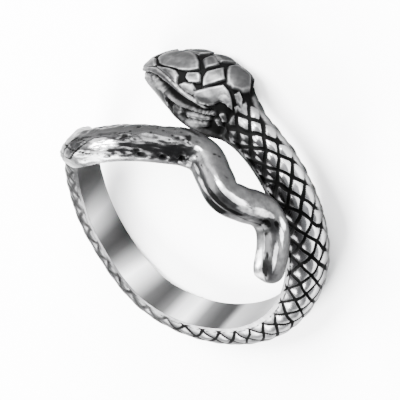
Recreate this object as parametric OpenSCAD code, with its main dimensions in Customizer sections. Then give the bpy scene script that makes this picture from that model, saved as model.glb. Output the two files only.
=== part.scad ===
// A snake ring: one casting that wraps the finger a little more than once.
// The scaled body starts under the head, goes round the back of the finger,
// climbs along the finger at one side and comes back over it as a bare arm
// that ends in a wavy tail. The head and the tail pass each other side by side.
//
// The snake is drawn on the unrolled finger and then wrapped around it. A turn
// is an angle around the finger, counted from the tip of the snout. A rise is a
// distance along the finger, counted from the middle of the band at the back
// of the finger, and it grows toward the tail.

/* [Finger] */
// Inside diameter of the ring
finger_d = 17.5; // [14:0.1:22]

/* [Band] */
// Width of the band at the back of the finger
band_w = 3.1; // [2.4:0.1:4]
// Thickness of the band at the back of the finger
band_t = 1.7; // [1.3:0.1:2.4]

/* [Body] */
// Width of the snake at its fattest
body_w = 3.6; // [2.8:0.1:4.4]
// Thickness of the snake at its fattest
body_t = 2.4; // [1.8:0.1:3]
// How far the fattest stretch stands toward the tail from the band
body_sway = 1.6; // [0.4:0.1:2]
// Width of the neck behind the head
neck_w = 3.2; // [2.4:0.1:3.8]

/* [Head] */
// Length of the head around the finger
head_l = 9.1; // [7.5:0.1:11]
// Width of the head across the lips
head_w = 4.3; // [3.4:0.1:5.4]
// Height of the head above the finger
head_t = 3.4; // [2.6:0.1:4.2]
// How far the snout points away from the tail
head_turn = 2; // [1:0.1:3]
// How far the top of the head leans away from the tail
head_lean = 1.15; // [0:0.05:1.8]
// Depth of the grooves between the head plates
plate_relief = 0.28; // [0.1:0.02:0.4]
// How much each head plate is drawn in from its corners
plate_gap = 0.04; // [0:0.02:0.3]
// Depth of the mouth line
mouth_depth = 0.4; // [0.1:0.02:0.6]

/* [Arm and tail] */
// Distance along the finger from the band to the middle line of the tail
tail_reach = 6.3; // [5.6:0.1:8]
// Width of the arm
arm_w = 2.6; // [1.8:0.1:3.2]
// Thickness of the arm
arm_t = 2.1; // [1.5:0.1:2.6]
// Height of the tail's waves to either side of its middle line
tail_wave = 1.1; // [0.4:0.1:1.3]
// Width of the tail's blunt tip
tip_w = 2.1; // [1.4:0.1:2.6]
// Thickness of the tail's blunt tip
tip_t = 1.9; // [1.3:0.1:2.4]
// Depth of the hammer marks on the arm
hammer_depth = 0.07; // [0:0.01:0.15]

/* [Scales] */
// Length of one diamond scale along the snake
scale_l = 1.42; // [1.1:0.02:2]
// Height of a scale above the grooves around it
scale_relief = 0.2; // [0.06:0.02:0.3]

/* [Resting place] */
// Lean of the finger's axis toward the fat side, as the ring lies on its side
rest_roll = 3.6; // [0:0.1:8]
// Lean of the finger's axis toward the head, as the ring lies on its side
rest_pitch = 8.1; // [4:0.1:12]
// Which way the ring is turned on the surface
rest_turn = 189; // [0:1:360]

/* [Hidden] */
metal = "silver";
finger_r = finger_d / 2;
// The casting is drawn this far into the finger, and the bore then cuts it off
bore_cut = 0.3;
// Angle of the snout's tip around the finger, and turn where the scales end
snout_angle = 151;
scaled_turn = 352;
// The head's length as an angle, measured at half its height
head_angle = head_l / (finger_r + head_t / 2) * 180 / PI;
// Steps of the dome across the body, and steps along one scale
dome_steps = 16;
scale_steps = 4;
// Sections along the head, and spacing of the sections on the bare tail
head_sections = 36;
tail_step = 0.6;
// Height of the body's and the tail's widest line as a share of the thickness
body_waist = 0.15;
tail_waist = 0.45;
// Width of the slope at the edge of a head plate
plate_bevel = 0.14;
// Way from the crown down to the lips as a share of the head's width
girth_share = 0.65;
// Length of the snout's rounding as a share of the head's height
snout_share = 0.15;
// Width on the finger as a share of the full width: body and tail
body_foot = 0.97;
tail_foot = 0.8;
// Bow of the dome across the snake: 1 is a circle, less is squarer
dome_bow = 0.87;
// Way ahead and behind that gives the snake's direction at a section
look_ahead = 0.8;
// Height of the scales on the band and on the climb as a share of the body's
band_scaled = 0.25;
climb_scaled = 0.4;
// Depth of the hammer marks at the end of the climb as a share of the arm's
climb_beaten = 0.5;
// Slope of a scale's edge: above 1 the scale has a flat top
scale_slope = 1.6;
// Height of the neck's widest line, just behind the head, as a share of its
// thickness
neck_waist = 0.5;

// Columns of every station. The waist is the height of the widest line, the
// foot is the share of the width on the finger, the chin is the height of the
// underside, and the lips are the share of the width at the foot of the dome.
// Mouth, scaled and beaten are shares of those reliefs.
function turn_of(s) = s[0];
function rise_of(s) = s[1];
function width_of(s) = s[2];
function thickness_of(s) = s[3];
function lean_of(s) = s[4];
function waist_of(s) = s[5];
function foot_of(s) = s[6];
function chin_of(s) = s[7];
function mouth_of(s) = s[8];
function scaled_of(s) = s[9];
function beaten_of(s) = s[10];
function lips_of(s) = s[11];

// Head: share of the length from the snout, share of the head's turn, shares
// of the width and the height, height of the underside as a share of the
// height, share of the lean, share of the mouth, height of the lips as a share
// of the height, width across the lips and width on the finger as shares of
// the width
head_rows = [
    [0.00, -1.13, 0.30, 0.44, 0.32, 0.00, 1.0, 0.62, 0.88, 0.75],
    [0.12, -0.96, 0.60, 0.66, 0.22, 0.08, 1.0, 0.68, 0.88, 0.75],
    [0.26, -0.69, 0.82, 0.91, 0.14, 0.35, 1.0, 0.68, 0.89, 0.75],
    [0.42, -0.37, 0.97, 1.07, 0.06, 0.74, 1.0, 0.63, 0.92, 0.75],
    [0.58, -0.11, 1.03, 1.11, 0.00, 1.00, 0.8, 0.53, 0.98, 0.90],
    [0.78,  0.04, 1.01, 1.08, 0.00, 1.10, 0.0, 0.46, 1.00, 1.12],
    [0.92,  0.06, 0.95, 0.99, 0.00, 0.95, 0.0, 0.46, 1.00, 1.08]
];
// Head plates, each by its corners: share of the head's length from the snout,
// share of the way from the crown (0) down to the lips (1 on the tail's side)
plates = [
    [[0.02, 0.60], [0.08, 0.14], [0.10, -0.06], [0.20, 0.22], [0.28, 0.57], [0.28, 0.64], [0.16, 0.66]],
    [[0.02, -0.10], [0.03, -0.50], [0.12, -0.62], [0.26, -0.34], [0.14, -0.10]],
    [[0.24, 0.24], [0.22, -0.08], [0.34, -0.15], [0.50, 0.01], [0.57, 0.14], [0.62, 0.31],
     [0.58, 0.43], [0.52, 0.52], [0.41, 0.56], [0.33, 0.52]],
    [[0.31, 0.63], [0.41, 0.60], [0.49, 0.60], [0.53, 0.68], [0.55, 0.87], [0.49, 0.86], [0.40, 0.76]],
    [[0.59, 0.63], [0.58, 0.50], [0.64, 0.39], [0.66, 0.43], [0.69, 0.58], [0.63, 0.68]],
    [[0.57, 0.86], [0.60, 0.74], [0.65, 0.70], [0.68, 0.76], [0.69, 0.89], [0.63, 0.92]],
    [[0.69, 0.92], [0.69, 0.79], [0.75, 0.60], [0.82, 0.37], [0.87, 0.42], [0.96, 0.62],
     [0.80, 0.92], [0.74, 0.97]],
    [[0.69, 0.45], [0.68, 0.29], [0.74, 0.02], [0.81, 0.24], [0.77, 0.43], [0.72, 0.62]],
    [[0.57, 0.02], [0.57, -0.12], [0.61, -0.12], [0.69, 0.00], [0.68, 0.09], [0.65, 0.21]],
    [[0.76, -0.06], [0.80, -0.36], [0.90, -0.34], [0.96, -0.06], [0.94, 0.16], [0.89, 0.30],
     [0.84, 0.28]],
    [[0.33, -0.20], [0.36, -0.62], [0.48, -0.62], [0.53, -0.24], [0.49, -0.07], [0.41, -0.08]],
    [[0.56, -0.20], [0.56, -0.62], [0.70, -0.68], [0.76, -0.36], [0.73, -0.20], [0.68, -0.08]],
    [[0.68, -0.86], [0.74, -0.92], [0.88, -0.80], [0.93, -0.50], [0.84, -0.44], [0.74, -0.50]],
    [[0.30, -0.68], [0.36, -0.78], [0.50, -0.80], [0.50, -0.68]],
    [[0.54, -0.74], [0.53, -0.90], [0.66, -0.92], [0.66, -0.78]],
    [[0.92, 0.38], [0.93, 0.24], [0.97, 0.22], [0.99, 0.32], [0.96, 0.42]]
];
// Upper edge of the lip: share of the head's length, share of the way down
lip_edge = [
    [0.00, 0.64], [0.32, 0.69], [0.40, 0.79], [0.49, 0.89], [0.63, 0.95], [0.70, 0.96],
    [0.78, 1.00], [1.00, 1.20]
];
// Neck: share of the way from the head to the body, share of the sway, share
// of the neck's width, share of the head's lean
neck_rows = [
    [0.05, 0.14, 1.12, 0.6],
    [0.25, 0.20, 1.04, 0.2],
    [0.60, 0.34, 1.03, 0.0]
];
// Body: turn, share of the sway, share of the body's width, of its thickness,
// share of the scales' height that wear has left
body_rows = [
    [ 75, 0.53, 0.95, 1.00, 1.00],
    [ 85, 0.72, 0.98, 1.00, 1.00],
    [101, 0.90, 1.00, 1.00, 0.95],
    [117, 1.00, 1.01, 1.00, 0.80],
    [136, 1.03, 1.01, 0.98, 0.60],
    [161, 1.00, 0.97, 0.94, 0.40],
    [186, 0.84, 0.92, 0.88, 0.30]
];
// Band: turn, share of the sway, share of the band's width, of its thickness
band_rows = [
    [216, 0.75, 1.00, 1.12],
    [231, 0.65, 0.98, 1.06],
    [243, 0.42, 0.97, 1.03],
    [256, 0.16, 0.97, 1.00],
    [276, 0.00, 1.00, 1.00],
    [291, 0.03, 1.00, 1.00]
];
// Climb: turn, share of the tail's reach, share of the way from band to arm,
// share of the thickness
climb_rows = [
    [303, 0.07, 0.10, 0.97],
    [314, 0.16, 0.25, 0.90],
    [323, 0.29, 0.40, 0.84],
    [331, 0.49, 0.60, 0.80],
    [338, 0.72, 0.80, 0.80],
    [345, 0.91, 0.95, 0.88]
];
// Arm and tail: turn, share of the wave, share of the way from arm to tip
tail_rows = [
    [354.0,  0.27, 0.00],
    [363.0,  0.32, 0.00],
    [379.0,  0.02, 0.00],
    [391.0, -0.45, 0.00],
    [401.0, -1.03, 0.00],
    [410.0, -1.05, 0.10],
    [418.0, -0.20, 0.20],
    [426.0,  0.50, 0.30],
    [436.0, -0.25, 0.40],
    [444.5, -1.25, 0.50],
    [453.5, -1.25, 0.65],
    [461.0, -0.45, 0.80],
    [467.0,  0.60, 0.90],
    [471.0,  1.20, 1.00]
];

function mix(a, b, share) = a + (b - a) * share;
// A value held between 0 and 1
function held(value) = max(0, min(1, value));

// Stations of the snake from the snout to the tip of the tail
stations = concat(
    [for (r = head_rows)
        [r[0] * head_angle, r[1] * head_turn, r[2] * head_w, r[3] * head_t, -r[5] * head_lean,
         r[3] * head_t * r[7], r[9], r[4] * head_t - bore_cut, r[6], 0, 0, r[8]]],
    [for (r = neck_rows)
        [mix(head_angle, body_rows[0][0], r[0]), r[1] * body_sway, r[2] * neck_w, body_t,
         -r[3] * head_lean, body_t * mix(body_waist, neck_waist, r[3]), body_foot, -bore_cut, 0, 1, 0, 1]],
    [for (r = body_rows)
        [r[0], r[1] * body_sway, r[2] * body_w, r[3] * body_t, 0, r[3] * body_t * body_waist,
         body_foot, -bore_cut, 0, r[4], 0, 1]],
    [for (r = band_rows)
        [r[0], r[1] * body_sway, r[2] * band_w, r[3] * band_t, 0, r[3] * band_t * body_waist,
         body_foot, -bore_cut, 0, band_scaled, 0, 1]],
    [for (r = climb_rows)
        [r[0], r[1] * tail_reach, mix(band_w, arm_w, r[2]), mix(band_t, arm_t, r[2]) * r[3], 0,
         mix(band_t, arm_t, r[2]) * r[3] * mix(body_waist, tail_waist, r[2]),
         mix(body_foot, tail_foot, r[2]), -bore_cut, 0, climb_scaled, r[2] * climb_beaten, 1]],
    [for (r = tail_rows)
        [r[0], tail_reach + r[1] * tail_wave, mix(arm_w, tip_w, r[2]), mix(arm_t, tip_t, r[2]), 0,
         mix(arm_t, tip_t, r[2]) * tail_waist, tail_foot, -bore_cut, 0, 0, r[2] > 0 ? 0 : 1, 1]]
);

// Smooth curve through the rows of a table whose first column grows
function slope(rows, i) = (rows[i + 1] - rows[i]) / (rows[i + 1][0] - rows[i][0]);
function gap(rows, i) = rows[i + 1][0] - rows[i][0];
function bend(rows, i) =
    i == 0 ? slope(rows, 0)
    : i == len(rows) - 1 ? slope(rows, i - 1)
    : (slope(rows, i - 1) * gap(rows, i) + slope(rows, i) * gap(rows, i - 1))
      / (gap(rows, i) + gap(rows, i - 1));
function span_of(rows, x) =
    max(0, min(len(rows) - 2, len([for (r = rows) if (r[0] <= x) 1]) - 1));
function smooth(rows, x) =
    let (i = span_of(rows, x), h = gap(rows, i), t = (x - rows[i][0]) / h)
    rows[i] * (2 * t * t * t - 3 * t * t + 1)
    + bend(rows, i) * (h * (t * t * t - 2 * t * t + t))
    + rows[i + 1] * (3 * t * t - 2 * t * t * t)
    + bend(rows, i + 1) * (h * (t * t * t - t * t));

// A point of the unrolled finger: distance around it, distance along it
function unrolled(s) = [-turn_of(s) * finger_r * PI / 180, rise_of(s)];
// The same point on the finger, at a height above its skin
function wrapped(flat, height) =
    let (angle = snout_angle + flat[0] / finger_r * 180 / PI)
    [(finger_r + height) * cos(angle), (finger_r + height) * sin(angle), flat[1]];
// Direction across the snake, toward the tail's side of the ring
function across(a, b) = let (d = (b - a) / norm(b - a)) [d[1], -d[0]];

// Length of the snake's middle line up to each whole turn
first_turn = turn_of(stations[0]);
last_turn = turn_of(stations[len(stations) - 1]);
function leg(turn) =
    norm(unrolled(smooth(stations, turn + 1)) - unrolled(smooth(stations, turn)));
milestones = [
    for (turn = first_turn, way = 0; turn <= last_turn; way = way + leg(turn), turn = turn + 1)
        [way, turn]
];
snake_l = milestones[len(milestones) - 1][0];
function turn_at(way) = lookup(way, milestones);
function way_at(turn) = lookup(turn, [for (m = milestones) [m[1], m[0]]]);

// Sections: along the head, four to a scale along the body, then the bare tail
head_end = way_at(head_angle);
scaled_end = way_at(scaled_turn);
scale_count = round((scaled_end - head_end) / scale_l);
scaled_sections = scale_count * scale_steps;
snout_r = head_t * snout_share;
bare_end = snake_l - tip_w / 2;
bare_sections = round((bare_end - scaled_end) / tail_step);
snout_angles = [14, 36, 60];
tip_angles = [20, 40, 60, 76];
head_ways = concat(
    [for (a = snout_angles) snout_r * (1 - cos(a))],
    [for (i = [0 : head_sections]) mix(snout_r, head_end, i / head_sections)]
);
body_ways = concat(
    [for (i = [1 : scaled_sections]) mix(head_end, scaled_end, i / scaled_sections)],
    [for (i = [1 : bare_sections]) mix(scaled_end, bare_end, i / bare_sections)],
    [for (a = tip_angles) bare_end + tip_w / 2 * sin(a)]
);
// Share of the full section that is left near the two rounded ends
function round_end(way, r) = way >= r ? 1 : sqrt(1 - pow((r - way) / r, 2));
function end_share(way) = min(round_end(way, snout_r), round_end(snake_l - way, tip_w / 2));

// Relief of the diamond scales: 0 in the grooves, 1 on the middle of a scale
function from_groove(n) =
    let (m = ((n % scale_steps) + scale_steps) % scale_steps)
    min(m, scale_steps - m) / (scale_steps / 2);
function scale_height(i, j) = min(1, scale_slope * min(from_groove(i + j), from_groove(i - j)));
// Relief of the head plates: 0 in the grooves, 1 on the plates and the lip
half_girth = head_w * girth_share;
function reach_in(p, corners) =
    min([for (k = [0 : len(corners) - 1])
        let (
            a = [corners[k][0] * head_l, corners[k][1] * half_girth],
            next = corners[(k + 1) % len(corners)],
            d = [next[0] * head_l, next[1] * half_girth] - a
        )
        (d[0] * (p[1] - a[1]) - d[1] * (p[0] - a[0])) / norm(d)]);
function plate_height(along, over) =
    let (
        p = [along * head_l, over * half_girth],
        best = max([for (c = plates) reach_in(p, c)]),
        lip = (abs(over) - lookup(along, lip_edge)) * half_girth
    )
    held(0.5 + (max(best, lip) - (plate_gap - plate_bevel) / 2) / plate_bevel);
// Hammer marks: shallow dents that never line up
function dent(i, j) = sin(i * 71 + j * 47) * cos(i * 29 - j * 83);

// A full curve, a little squarer than a circle
function rounded(c) = sign(c) * pow(abs(c), dome_bow);

// Side of the snake from its foot up to its widest line: share of the way up,
// share of the way out from the foot to the full width, share of the mouth's
// depth, and 1 where the width is that of the lips
head_side = [[0, 0, 0, 0], [0.3, 0.55, 0, 0], [0.68, 1, 0, 0], [0.86, 1, 1, 1]];
body_side = [[0, 0, 0, 0], [0.5, 0.7, 0, 0]];

// One section of the snake. i counts the sections, and on the head the grid
// across is twice as fine
function section(way, i, on_head) =
    let (
        s = smooth(stations, turn_at(way)),
        ahead = unrolled(smooth(stations, turn_at(min(way + look_ahead, snake_l)))),
        behind = unrolled(smooth(stations, turn_at(max(way - look_ahead, 0)))),
        side = across(behind, ahead),
        here = unrolled(s),
        close = end_share(way),
        half = width_of(s) / 2 * close,
        waist = waist_of(s) + max(0, chin_of(s)),
        crown = waist + (thickness_of(s) - waist_of(s)) * close,
        foot = mix(waist, chin_of(s), close),
        lips = lips_of(s),
        relief = held(scaled_of(s)) * scale_relief,
        marks = held(beaten_of(s)) * hammer_depth,
        mouth = held(mouth_of(s)) * mouth_depth * close,
        steps = on_head ? dome_steps * 2 : dome_steps,
        wall = [
            for (w = on_head ? head_side : body_side)
                [half * mix(foot_of(s), mix(1, lips, w[3]), w[1]) - mouth * w[2], mix(foot, waist, w[0])]
        ],
        dome = [
            for (j = [0 : steps])
                let (
                    a = 180 * j / steps,
                    lift = on_head
                        ? -plate_relief * close * (1 - plate_height(way / head_end, 1 - a / 90))
                        : -relief * (1 - scale_height(i, j)) - marks * (0.5 + dent(i, j) / 2)
                )
                [(half * lips + lift) * rounded(cos(a)), waist + (crown - waist + lift) * rounded(sin(a))]
        ],
        far_wall = [for (k = [len(wall) - 1 : -1 : 0]) [-wall[k][0], wall[k][1]]],
        profile = concat(wall, dome, far_wall)
    )
    [for (p = profile)
        wrapped(here + side * (p[0] + lean_of(s) * max(0, p[1]) / thickness_of(s)), p[1])];

// Middle of a section, half way between its foot and its crown
function middle(s) =
    let (last = len(s) - 1) s[0] / 4 + s[last] / 4 + s[last / 2] / 2;

// A closed skin over a row of sections. The sections before the join have
// twice as many steps across as those after it. The diagonals follow the
// grooves of the scales.
module skin(fine, coarse) {
    m = len(fine[0]);
    c = len(coarse[0]);
    joined = len(fine) * m;
    total = joined + len(coarse) * c;
    function quad(a, b, d, e, slanted) =
        slanted ? [[a, e, d], [a, b, e]] : [[a, b, d], [d, b, e]];
    function strip(from, count, n, first) = [
        for (i = [0 : count - 2], j = [0 : n - 1]) each
            quad(from + i * n + j, from + i * n + (j + 1) % n,
                 from + (i + 1) * n + j, from + (i + 1) * n + (j + 1) % n, (i + j + first) % 2 == 0)];
    last = joined - m;
    polyhedron(
        points = concat(
            [for (s = fine) each s],
            [for (s = coarse) each s],
            [middle(fine[0])],
            [middle(coarse[len(coarse) - 1])]
        ),
        faces = concat(
            strip(0, len(fine), m, 0),
            [for (j = [0 : c - 2]) each [
                [last + 2 * j, last + 2 * j + 1, joined + j],
                [last + 2 * j + 1, joined + j + 1, joined + j],
                [last + 2 * j + 1, last + 2 * j + 2, joined + j + 1]]],
            [[last + m - 1, last, joined + c - 1], [last, joined, joined + c - 1]],
            strip(joined, len(coarse), c, 1),
            [for (j = [0 : m - 1]) [total, (j + 1) % m, j]],
            [for (j = [0 : c - 1]) [total + 1, total - c + j, total - c + (j + 1) % c]]
        )
    );
}

head_skin = [for (i = [0 : len(head_ways) - 1]) section(head_ways[i], i, true)];
body_skin = [for (i = [0 : len(body_ways) - 1]) section(body_ways[i], i + 1, false)];

// Rest: the ring lies on its side, head down, and its middle is over the origin
function about_x(p, a) = [p[0], p[1] * cos(a) - p[2] * sin(a), p[1] * sin(a) + p[2] * cos(a)];
function about_y(p, a) = [p[0] * cos(a) + p[2] * sin(a), p[1], p[2] * cos(a) - p[0] * sin(a)];
function about_z(p, a) = [p[0] * cos(a) - p[1] * sin(a), p[0] * sin(a) + p[1] * cos(a), p[2]];
laid = [
    for (s = concat(head_skin, body_skin), k = [1 : len(s) - 2])
        about_z(about_y(about_x(s[k], rest_roll), rest_pitch), rest_turn)
];
function least(k) = min([for (p = laid) p[k]]);
function most(k) = max([for (p = laid) p[k]]);
lift = [-(least(0) + most(0)) / 2, -(least(1) + most(1)) / 2, -least(2)];

module at_rest() {
    translate(lift) rotate([0, 0, rest_turn]) rotate([rest_roll, rest_pitch, 0]) children();
}

module casting() {
    skin(head_skin, body_skin);
}

// The finger's hole, cut clear through from side to side
module finger_hole() {
    cylinder(r = finger_r, h = finger_d * 2, center = true, $fn = 96);
}

module snake_ring() {
    color(metal)
        at_rest()
            difference() {
                casting();
                finger_hole();
            }
}

snake_ring();
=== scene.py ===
# %% [markdown]
# # A snake wrap ring in antique silver
# The real object is one casting: a snake that wraps the finger a little more
# than once. It is blackened all over and then polished, so the black stays in
# the grooves between the scales and the high spots shine. This lesson loads the
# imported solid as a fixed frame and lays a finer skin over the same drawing.

import math

import bpy
from mathutils import Matrix, Vector, noise


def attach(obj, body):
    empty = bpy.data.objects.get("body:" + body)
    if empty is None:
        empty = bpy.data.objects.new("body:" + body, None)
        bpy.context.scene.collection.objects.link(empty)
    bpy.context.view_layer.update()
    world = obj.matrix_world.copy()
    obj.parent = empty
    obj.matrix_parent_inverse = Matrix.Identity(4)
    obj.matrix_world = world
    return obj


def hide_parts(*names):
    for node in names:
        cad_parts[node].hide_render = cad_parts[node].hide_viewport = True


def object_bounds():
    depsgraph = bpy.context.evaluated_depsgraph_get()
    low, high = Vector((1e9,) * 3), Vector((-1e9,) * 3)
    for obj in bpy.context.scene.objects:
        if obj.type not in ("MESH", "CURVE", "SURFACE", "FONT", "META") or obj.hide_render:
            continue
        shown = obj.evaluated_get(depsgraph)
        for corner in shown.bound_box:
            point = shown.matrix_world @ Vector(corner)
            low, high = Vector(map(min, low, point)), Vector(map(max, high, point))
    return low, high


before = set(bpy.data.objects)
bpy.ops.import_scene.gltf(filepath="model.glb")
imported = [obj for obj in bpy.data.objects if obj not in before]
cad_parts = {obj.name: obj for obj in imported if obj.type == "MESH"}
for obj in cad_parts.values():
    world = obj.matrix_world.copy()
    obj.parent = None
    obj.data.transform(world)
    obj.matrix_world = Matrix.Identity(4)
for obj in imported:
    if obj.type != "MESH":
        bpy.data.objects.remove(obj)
cad_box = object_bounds()
MM = 0.001
print("the solid ring's box, in mm:", [[round(v / MM, 2) for v in corner] for corner in cad_box])

# %% [markdown]
# ## How the ring lies
# A ring that is laid down rolls onto its side and leans a little, because the
# head is fatter than the tail. The source turns its drawing by the same three
# angles, so the skin is drawn upright and then turned with them.

# %% Turn of the drawing
REST_ROLL, REST_PITCH, REST_TURN = 3.6, 8.1, 189.0
turned = (
    Matrix.Rotation(math.radians(REST_TURN), 3, "Z")
    @ Matrix.Rotation(math.radians(REST_PITCH), 3, "Y")
    @ Matrix.Rotation(math.radians(REST_ROLL), 3, "X")
)
print("the finger's axis leans", round(math.degrees(math.acos(turned[2][2])), 1), "degrees")

# %% [markdown]
# ## The snake's sizes and its drawing
# The snake is drawn on the unrolled finger, as a jeweller draws a band before
# it is bent. A turn is an angle around the finger from the snout, and a rise is
# a distance along the finger. The tables hold shares of the named sizes, the
# same ones as in the source, so the skin follows the solid everywhere.

# %% Sizes in millimetres
FINGER_R = 8.75
BAND_W, BAND_T = 3.1, 1.7
BODY_W, BODY_T, BODY_SWAY, NECK_W = 3.6, 2.4, 1.6, 3.2
HEAD_L, HEAD_W, HEAD_T, HEAD_TURN, HEAD_LEAN = 9.1, 4.3, 3.4, 2.0, 1.15
TAIL_REACH, ARM_W, ARM_T, TAIL_WAVE = 6.3, 2.6, 2.1, 1.1
TIP_W, TIP_T = 2.1, 1.9
SCALE_L, SCALE_RELIEF, HAMMER_DEPTH = 1.42, 0.2, 0.07
PLATE_RELIEF, PLATE_GAP, PLATE_BEVEL, MOUTH_DEPTH = 0.28, 0.04, 0.12, 0.4
# how far the sections reach into the finger, and how far ahead the direction is taken
BORE_CUT, LOOK_AHEAD = 0.3, 0.8
# angle of the snout around the finger, and the turn where the scales end
SNOUT_ANGLE, SCALED_TURN = 151.0, 352.0
# shares of the thickness: height of the widest line, and length of the snout's rounding
BODY_WAIST, NECK_WAIST, TAIL_WAIST, SNOUT_ROUND = 0.15, 0.5, 0.45, 0.15
# width on the finger as a share of the width
BODY_FOOT, TAIL_FOOT = 0.97, 0.8
# how much is left of the scales and of the hammer marks
BAND_SCALED, CLIMB_SCALED, CLIMB_BEATEN = 0.25, 0.4, 0.5
head_angle = math.degrees(HEAD_L / (FINGER_R + HEAD_T / 2))
print("the head covers", round(head_angle, 1), "degrees of the finger")

# %% Head, neck, body, band, climb and tail
# share of the length, of the head's turn, of the width, of the height, height of the underside,
# share of the lean, height of the lips, width across the lips, width on the finger
head_rows = [
    (0.00, -1.13, 0.30, 0.44, 0.32, 0.00, 0.62, 0.88, 0.75),
    (0.12, -0.96, 0.60, 0.66, 0.22, 0.08, 0.68, 0.88, 0.75),
    (0.26, -0.69, 0.82, 0.91, 0.14, 0.35, 0.68, 0.89, 0.75),
    (0.42, -0.37, 0.97, 1.07, 0.06, 0.74, 0.63, 0.92, 0.75),
    (0.58, -0.11, 1.03, 1.11, 0.00, 1.00, 0.53, 0.98, 0.90),
    (0.78, 0.04, 1.01, 1.08, 0.00, 1.10, 0.46, 1.00, 1.12),
    (0.92, 0.06, 0.95, 0.99, 0.00, 0.95, 0.46, 1.00, 1.08),
]
# share of the way from head to body, of the sway, of the neck's width, of the lean
neck_rows = [(0.05, 0.14, 1.12, 0.6), (0.25, 0.20, 1.04, 0.2), (0.60, 0.34, 1.03, 0.0)]
# turn, share of the sway, of the width, of the thickness, of the scales' height
body_rows = [
    (75, 0.53, 0.95, 1.00, 1.00), (85, 0.72, 0.98, 1.00, 1.00), (101, 0.90, 1.00, 1.00, 0.95),
    (117, 1.00, 1.01, 1.00, 0.80), (136, 1.03, 1.01, 0.98, 0.60), (161, 1.00, 0.97, 0.94, 0.40),
    (186, 0.84, 0.92, 0.88, 0.30),
]
# turn, share of the sway, of the width, of the thickness
band_rows = [
    (216, 0.75, 1.00, 1.12), (231, 0.65, 0.98, 1.06), (243, 0.42, 0.97, 1.03),
    (256, 0.16, 0.97, 1.00), (276, 0.00, 1.00, 1.00), (291, 0.03, 1.00, 1.00),
]
# turn, share of the tail's reach, share of the way from band to arm, share of the thickness
climb_rows = [
    (303, 0.07, 0.10, 0.97), (314, 0.16, 0.25, 0.90), (323, 0.29, 0.40, 0.84),
    (331, 0.49, 0.60, 0.80), (338, 0.72, 0.80, 0.80), (345, 0.91, 0.95, 0.88),
]
# turn, share of the wave, share of the way from arm to tip
tail_rows = [
    (354.0, 0.27, 0.00), (363.0, 0.32, 0.00), (379.0, 0.02, 0.00), (391.0, -0.45, 0.00),
    (401.0, -1.03, 0.00), (410.0, -1.05, 0.10), (418.0, -0.20, 0.20), (426.0, 0.50, 0.30),
    (436.0, -0.25, 0.40), (444.5, -1.25, 0.50), (453.5, -1.25, 0.65), (461.0, -0.45, 0.80),
    (467.0, 0.60, 0.90), (471.0, 1.20, 1.00),
]
tables = (head_rows, neck_rows, body_rows, band_rows, climb_rows, tail_rows)
print("rows:", sum(len(rows) for rows in tables))

# %% [markdown]
# ## One station list
# Each row becomes a station with the same columns, so one smooth curve can run
# through all of them. The curve is the one that the source uses: each station
# keeps the slope of its neighbours, and so the skin has no kinks.

# %% Stations and the smooth curve through them
TURN, RISE, WIDE, THICK, LEAN, WAIST, FOOT, CHIN, SCALED, BEATEN, LIPS = range(11)


def mix(a, b, share):
    return a + (b - a) * share


def clamp(value, low=0.0, high=1.0):
    return max(low, min(high, value))


def smoothstep(low, high, value):
    t = clamp((value - low) / (high - low))
    return t * t * (3 - 2 * t)


stations = [
    (along * head_angle, swing * HEAD_TURN, width * HEAD_W, height * HEAD_T, -lean * HEAD_LEAN,
     height * HEAD_T * lip_height, foot, under * HEAD_T - BORE_CUT, 0, 0, lip_width)
    for along, swing, width, height, under, lean, lip_height, lip_width, foot in head_rows
] + [
    (mix(head_angle, body_rows[0][0], share), sway * BODY_SWAY, width * NECK_W, BODY_T,
     -lean * HEAD_LEAN, BODY_T * mix(BODY_WAIST, NECK_WAIST, lean), BODY_FOOT,
     -BORE_CUT, 1, 0, 1)
    for share, sway, width, lean in neck_rows
] + [
    (turn, sway * BODY_SWAY, width * BODY_W, thick * BODY_T, 0, thick * BODY_T * BODY_WAIST,
     BODY_FOOT, -BORE_CUT, scaled, 0, 1)
    for turn, sway, width, thick, scaled in body_rows
] + [
    (turn, sway * BODY_SWAY, width * BAND_W, thick * BAND_T, 0, thick * BAND_T * BODY_WAIST,
     BODY_FOOT, -BORE_CUT, BAND_SCALED, 0, 1)
    for turn, sway, width, thick in band_rows
] + [
    (turn, reach * TAIL_REACH, mix(BAND_W, ARM_W, share), mix(BAND_T, ARM_T, share) * thick, 0,
     mix(BAND_T, ARM_T, share) * thick * mix(BODY_WAIST, TAIL_WAIST, share),
     mix(BODY_FOOT, TAIL_FOOT, share), -BORE_CUT, CLIMB_SCALED, share * CLIMB_BEATEN, 1)
    for turn, reach, share, thick in climb_rows
] + [
    (turn, TAIL_REACH + wave * TAIL_WAVE, mix(ARM_W, TIP_W, share), mix(ARM_T, TIP_T, share), 0,
     mix(ARM_T, TIP_T, share) * TAIL_WAIST, TAIL_FOOT, -BORE_CUT, 0, 0 if share > 0 else 1, 1)
    for turn, wave, share in tail_rows
]


def slope(i):
    run = stations[i + 1][TURN] - stations[i][TURN]
    return [(b - a) / run for a, b in zip(stations[i], stations[i + 1])]


def bend(i):
    if i in (0, len(stations) - 1):
        return slope(min(i, len(stations) - 2))
    before = stations[i][TURN] - stations[i - 1][TURN]
    after = stations[i + 1][TURN] - stations[i][TURN]
    return [(a * after + b * before) / (before + after) for a, b in zip(slope(i - 1), slope(i))]


bends = [bend(i) for i in range(len(stations))]


def station_at(turn):
    i = max(0, min(len(stations) - 2, sum(s[TURN] <= turn for s in stations) - 1))
    run = stations[i + 1][TURN] - stations[i][TURN]
    t = (turn - stations[i][TURN]) / run
    parts = (2 * t**3 - 3 * t**2 + 1, run * (t**3 - 2 * t**2 + t),
             3 * t**2 - 2 * t**3, run * (t**3 - t**2))
    columns = zip(stations[i], bends[i], stations[i + 1], bends[i + 1])
    return [sum(p * c for p, c in zip(parts, column)) for column in columns]


print("stations:", len(stations))

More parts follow.
